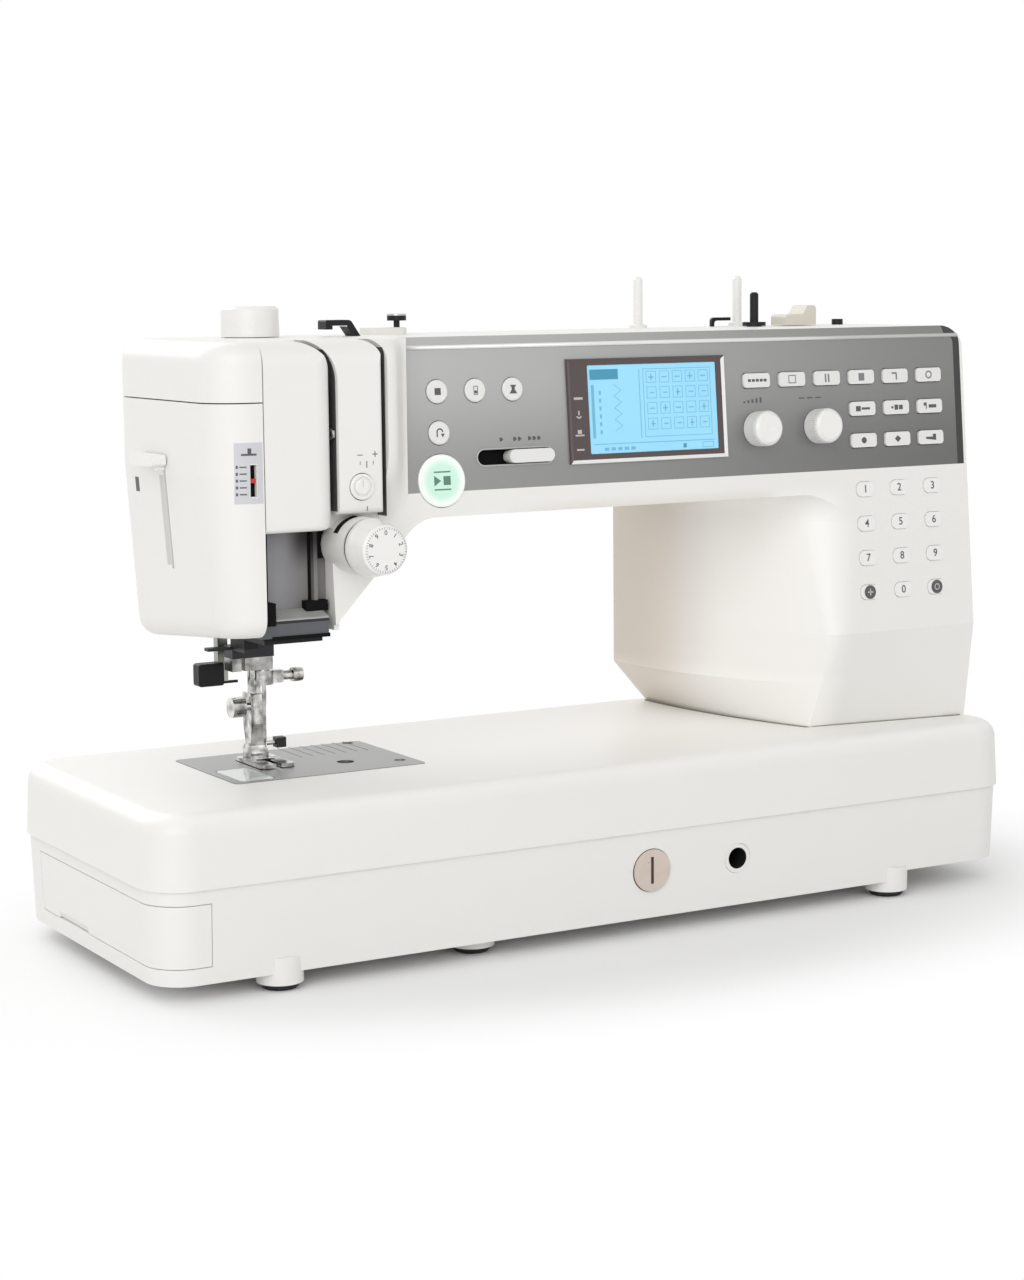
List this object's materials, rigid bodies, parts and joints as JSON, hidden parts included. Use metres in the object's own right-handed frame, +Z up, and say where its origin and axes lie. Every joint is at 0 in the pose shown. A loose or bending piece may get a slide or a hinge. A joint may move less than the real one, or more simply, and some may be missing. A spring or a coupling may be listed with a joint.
{
  "type": "sewing machine",
  "caption": "Long-bed computerised sewing machine with a wide throat, a grey control panel with screen, keys and knobs, and a moving needle, presser foot and dials.",
  "frame": {"origin": "centre of the footprint, at the height of the table under the feet", "axes": "+X along the bed from the needle end to the hand wheel, +Y to the back, +Z up"},
  "size_m": [0.519, 0.1948, 0.335],
  "materials": {
    "warm_white": "fine moulded texture, satin",
    "white_trim": "smooth moulded",
    "panel_grey": "silver-grey satin paint",
    "screen": "dark bezel round a pale blue screen",
    "button_white": "smooth moulded",
    "dark_plastic": "satin black",
    "guard_grey": "satin grey",
    "foot_rubber": "matt",
    "plate_steel": "ground and lightly brushed",
    "bright_chrome": "polished plating",
    "dial_metal": "turned, warm plating",
    "clear_cover": "clear moulded",
    "cast_alloy": "as cast",
    "motor_case": "satin black paint",
    "cream_plastic": "satin",
    "red_plastic": "smooth"
  },
  "bodies": {
    "machine": {"bed_cover": "warm_white", "bed_base": "warm_white", "feet": "foot_rubber", "front_housing": "warm_white", "rear_housing": "warm_white", "face_cover": "warm_white", "face_cap": "warm_white", "head_front": "warm_white", "thread_strip": "warm_white", "head_guard": "guard_grey", "control_panel": "panel_grey", "display": "screen", "number_pad": "white_trim", "needle_plate": "plate_steel", "sockets": "dark_plastic", "motor": "motor_case", "arm_frame": "cast_alloy", "spool_pins": "white_trim", "thread_guides": "dark_plastic"},
    "drive": {"hand_wheel": "white_trim", "upper_shaft": "plate_steel"},
    "accessory_drawer": {"accessory_drawer": "warm_white"},
    "bobbin_cover": {"bobbin_cover": "clear_cover"},
    "feed_dog": {"feed_dog": "plate_steel"},
    "rotary_hook": {"rotary_hook": "plate_steel"},
    "bobbin": {"bobbin": "clear_cover"},
    "needle_bar": {"needle_bar": "bright_chrome"},
    "presser_bar": {"presser_bar": "bright_chrome"},
    "lifter_lever": {"lifter_lever": "dark_plastic"},
    "buttonhole_lever": {"buttonhole_lever": "dark_plastic"},
    "take_up_lever": {"take_up_lever": "bright_chrome"},
    "tension_dial": {"tension_dial": "white_trim"},
    "balance_dial": {"balance_dial": "white_trim"},
    "pressure_dial": {"pressure_dial": "white_trim"},
    "pressure_marker": {"pressure_marker": "red_plastic"},
    "feed_dial": {"feed_dial": "dial_metal"},
    "power_switch": {"power_switch": "dark_plastic"},
    "threader_lever": {"threader_lever": "white_trim"},
    "winder_spindle": {"winder_spindle": "dark_plastic"},
    "bobbin_stopper": {"bobbin_stopper": "cream_plastic"},
    "start_button": {"start_button": "button_white"},
    "speed_slider": {"speed_slider": "button_white"},
    "width_dial": {"width_dial": "white_trim"},
    "length_dial": {"length_dial": "white_trim"},
    "lock_button": {"lock_button": "button_white"},
    "needle_button": {"needle_button": "button_white"},
    "cutter_button": {"cutter_button": "button_white"},
    "reverse_button": {"reverse_button": "button_white"},
    "panel_key_01": {"panel_key_01": "button_white"},
    "panel_key_02": {"panel_key_02": "button_white"},
    "panel_key_03": {"panel_key_03": "button_white"},
    "panel_key_04": {"panel_key_04": "button_white"},
    "panel_key_05": {"panel_key_05": "button_white"},
    "panel_key_06": {"panel_key_06": "button_white"},
    "panel_key_07": {"panel_key_07": "button_white"},
    "panel_key_08": {"panel_key_08": "button_white"},
    "panel_key_09": {"panel_key_09": "button_white"},
    "panel_key_10": {"panel_key_10": "button_white"},
    "panel_key_11": {"panel_key_11": "button_white"},
    "panel_key_12": {"panel_key_12": "button_white"}
  },
  "joints": [
    {"name": "drawer_slide", "type": "slide", "parent": "machine", "child": "accessory_drawer", "axis": [-1, 0, 0], "range_m": [0, 0.055]},
    {"name": "bobbin_cover_lift", "type": "slide", "parent": "machine", "child": "bobbin_cover", "axis": [0, 0, 1], "range_m": [0, 0.015]},
    {"name": "feed_travel", "type": "slide", "parent": "machine", "child": "feed_dog", "axis": [0, 1, 0], "range_m": [-0.0025, 0.0025]},
    {"name": "wheel_turn", "type": "hinge", "parent": "machine", "child": "drive", "pos_m": [-0.0045, 0.01293, 0.252], "axis": [1, 0, 0], "continuous": true},
    {"name": "hook_turn", "type": "hinge", "parent": "machine", "child": "rotary_hook", "pos_m": [-0.176, -0.00907, 0.0841], "axis": [0, 0, 1], "continuous": true},
    {"name": "bobbin_turn", "type": "hinge", "parent": "machine", "child": "bobbin", "pos_m": [-0.176, -0.00907, 0.0841], "axis": [0, 0, 1], "continuous": true},
    {"name": "needle_stroke", "type": "slide", "parent": "machine", "child": "needle_bar", "axis": [0, 0, 1], "range_m": [-0.03, 0]},
    {"name": "take_up_swing", "type": "hinge", "parent": "machine", "child": "take_up_lever", "pos_m": [-0.1545, -0.03307, 0.252], "axis": [1, 0, 0], "range_deg": [-0.2, 40.2]},
    {"name": "lifter_swing", "type": "hinge", "parent": "machine", "child": "lifter_lever", "pos_m": [-0.1545, 0.04193, 0.206], "axis": [1, 0, 0], "range_deg": [0, 30.1]},
    {"name": "presser_lift", "type": "slide", "parent": "machine", "child": "presser_bar", "axis": [0, 0, 1], "range_m": [0, 0.008]},
    {"name": "buttonhole_drop", "type": "slide", "parent": "machine", "child": "buttonhole_lever", "axis": [0, 0, -1], "range_m": [0, 0.03]},
    {"name": "tension_turn", "type": "hinge", "parent": "machine", "child": "tension_dial", "pos_m": [-0.14, -0.07943, 0.2085], "axis": [0, -1, 0], "range_deg": [-150, 150]},
    {"name": "balance_turn", "type": "hinge", "parent": "machine", "child": "balance_dial", "pos_m": [-0.14, -0.07307, 0.237], "axis": [0, -1, 0], "range_deg": [-90, 90]},
    {"name": "pressure_turn", "type": "hinge", "parent": "machine", "child": "pressure_dial", "pos_m": [-0.1545, 0.01993, 0.307], "axis": [0, 0, 1], "range_deg": [-360, 360]},
    {"name": "pressure_mark", "type": "slide", "parent": "machine", "child": "pressure_marker", "axis": [0, 0, 1], "range_m": [-0.0056, 0.0056]},
    {"name": "feed_turn", "type": "hinge", "parent": "machine", "child": "feed_dial", "pos_m": [0.0138, -0.09157, 0.0341], "axis": [0, -1, 0], "range_deg": [0, 90]},
    {"name": "power_rock", "type": "hinge", "parent": "machine", "child": "power_switch", "pos_m": [0.2432, -0.00007, 0.034], "axis": [0, 0, -1], "range_deg": [0, 10]},
    {"name": "threader_pull", "type": "slide", "parent": "machine", "child": "threader_lever", "axis": [0, 0, -1], "range_m": [0, 0.046], "stiffness_N_per_m": 25, "springref_m": -0.012},
    {"name": "winder_turn", "type": "hinge", "parent": "machine", "child": "winder_spindle", "pos_m": [0.1529, 0.01893, 0.307], "axis": [0, 0, 1], "continuous": true},
    {"name": "stopper_slide", "type": "slide", "parent": "machine", "child": "bobbin_stopper", "axis": [-1, 0, 0], "range_m": [0, 0.006]},
    {"name": "speed_slide", "type": "slide", "parent": "machine", "child": "speed_slider", "axis": [-1, 0, 0], "range_m": [0, 0.0164]},
    {"name": "width_turn", "type": "hinge", "parent": "machine", "child": "width_dial", "pos_m": [0.101, -0.05841, 0.2551], "axis": [0, -0.9963, 0.0858], "continuous": true},
    {"name": "length_turn", "type": "hinge", "parent": "machine", "child": "length_dial", "pos_m": [0.1401, -0.05841, 0.2551], "axis": [0, -0.9963, 0.0858], "continuous": true},
    {"name": "start_press", "type": "slide", "parent": "machine", "child": "start_button", "axis": [0, 0.9963, -0.0858], "range_m": [0, 0.001], "stiffness_N_per_m": 300, "springref_m": -0.001},
    {"name": "lock_press", "type": "slide", "parent": "machine", "child": "lock_button", "axis": [0, 0.9963, -0.0858], "range_m": [0, 0.001], "stiffness_N_per_m": 300, "springref_m": -0.001},
    {"name": "needle_press", "type": "slide", "parent": "machine", "child": "needle_button", "axis": [0, 0.9963, -0.0858], "range_m": [0, 0.001], "stiffness_N_per_m": 300, "springref_m": -0.001},
    {"name": "cutter_press", "type": "slide", "parent": "machine", "child": "cutter_button", "axis": [0, 0.9963, -0.0858], "range_m": [0, 0.001], "stiffness_N_per_m": 300, "springref_m": -0.001},
    {"name": "reverse_press", "type": "slide", "parent": "machine", "child": "reverse_button", "axis": [0, 0.9963, -0.0858], "range_m": [0, 0.001], "stiffness_N_per_m": 300, "springref_m": -0.001},
    {"name": "key_press_01", "type": "slide", "parent": "machine", "child": "panel_key_01", "axis": [0, 0.9963, -0.0858], "range_m": [0, 0.001], "stiffness_N_per_m": 300, "springref_m": -0.001},
    {"name": "key_press_02", "type": "slide", "parent": "machine", "child": "panel_key_02", "axis": [0, 0.9963, -0.0858], "range_m": [0, 0.001], "stiffness_N_per_m": 300, "springref_m": -0.001},
    {"name": "key_press_03", "type": "slide", "parent": "machine", "child": "panel_key_03", "axis": [0, 0.9963, -0.0858], "range_m": [0, 0.001], "stiffness_N_per_m": 300, "springref_m": -0.001},
    {"name": "key_press_04", "type": "slide", "parent": "machine", "child": "panel_key_04", "axis": [0, 0.9963, -0.0858], "range_m": [0, 0.001], "stiffness_N_per_m": 300, "springref_m": -0.001},
    {"name": "key_press_05", "type": "slide", "parent": "machine", "child": "panel_key_05", "axis": [0, 0.9963, -0.0858], "range_m": [0, 0.001], "stiffness_N_per_m": 300, "springref_m": -0.001},
    {"name": "key_press_06", "type": "slide", "parent": "machine", "child": "panel_key_06", "axis": [0, 0.9963, -0.0858], "range_m": [0, 0.001], "stiffness_N_per_m": 300, "springref_m": -0.001},
    {"name": "key_press_07", "type": "slide", "parent": "machine", "child": "panel_key_07", "axis": [0, 0.9963, -0.0858], "range_m": [0, 0.001], "stiffness_N_per_m": 300, "springref_m": -0.001},
    {"name": "key_press_08", "type": "slide", "parent": "machine", "child": "panel_key_08", "axis": [0, 0.9963, -0.0858], "range_m": [0, 0.001], "stiffness_N_per_m": 300, "springref_m": -0.001},
    {"name": "key_press_09", "type": "slide", "parent": "machine", "child": "panel_key_09", "axis": [0, 0.9963, -0.0858], "range_m": [0, 0.001], "stiffness_N_per_m": 300, "springref_m": -0.001},
    {"name": "key_press_10", "type": "slide", "parent": "machine", "child": "panel_key_10", "axis": [0, 0.9963, -0.0858], "range_m": [0, 0.001], "stiffness_N_per_m": 300, "springref_m": -0.001},
    {"name": "key_press_11", "type": "slide", "parent": "machine", "child": "panel_key_11", "axis": [0, 0.9963, -0.0858], "range_m": [0, 0.001], "stiffness_N_per_m": 300, "springref_m": -0.001},
    {"name": "key_press_12", "type": "slide", "parent": "machine", "child": "panel_key_12", "axis": [0, 0.9963, -0.0858], "range_m": [0, 0.001], "stiffness_N_per_m": 300, "springref_m": -0.001}
  ],
  "couplings": [
    {"joint": "hook_turn", "follows": "wheel_turn", "ratio": 2},
    {"joint": "take_up_swing", "follows": "needle_stroke", "rad_per_m": -23.27},
    {"joint": "lifter_swing", "follows": "presser_lift", "rad_per_m": 65.45},
    {"joint": "pressure_mark", "follows": "pressure_turn", "m_per_rad": 0.0008754}
  ]
}
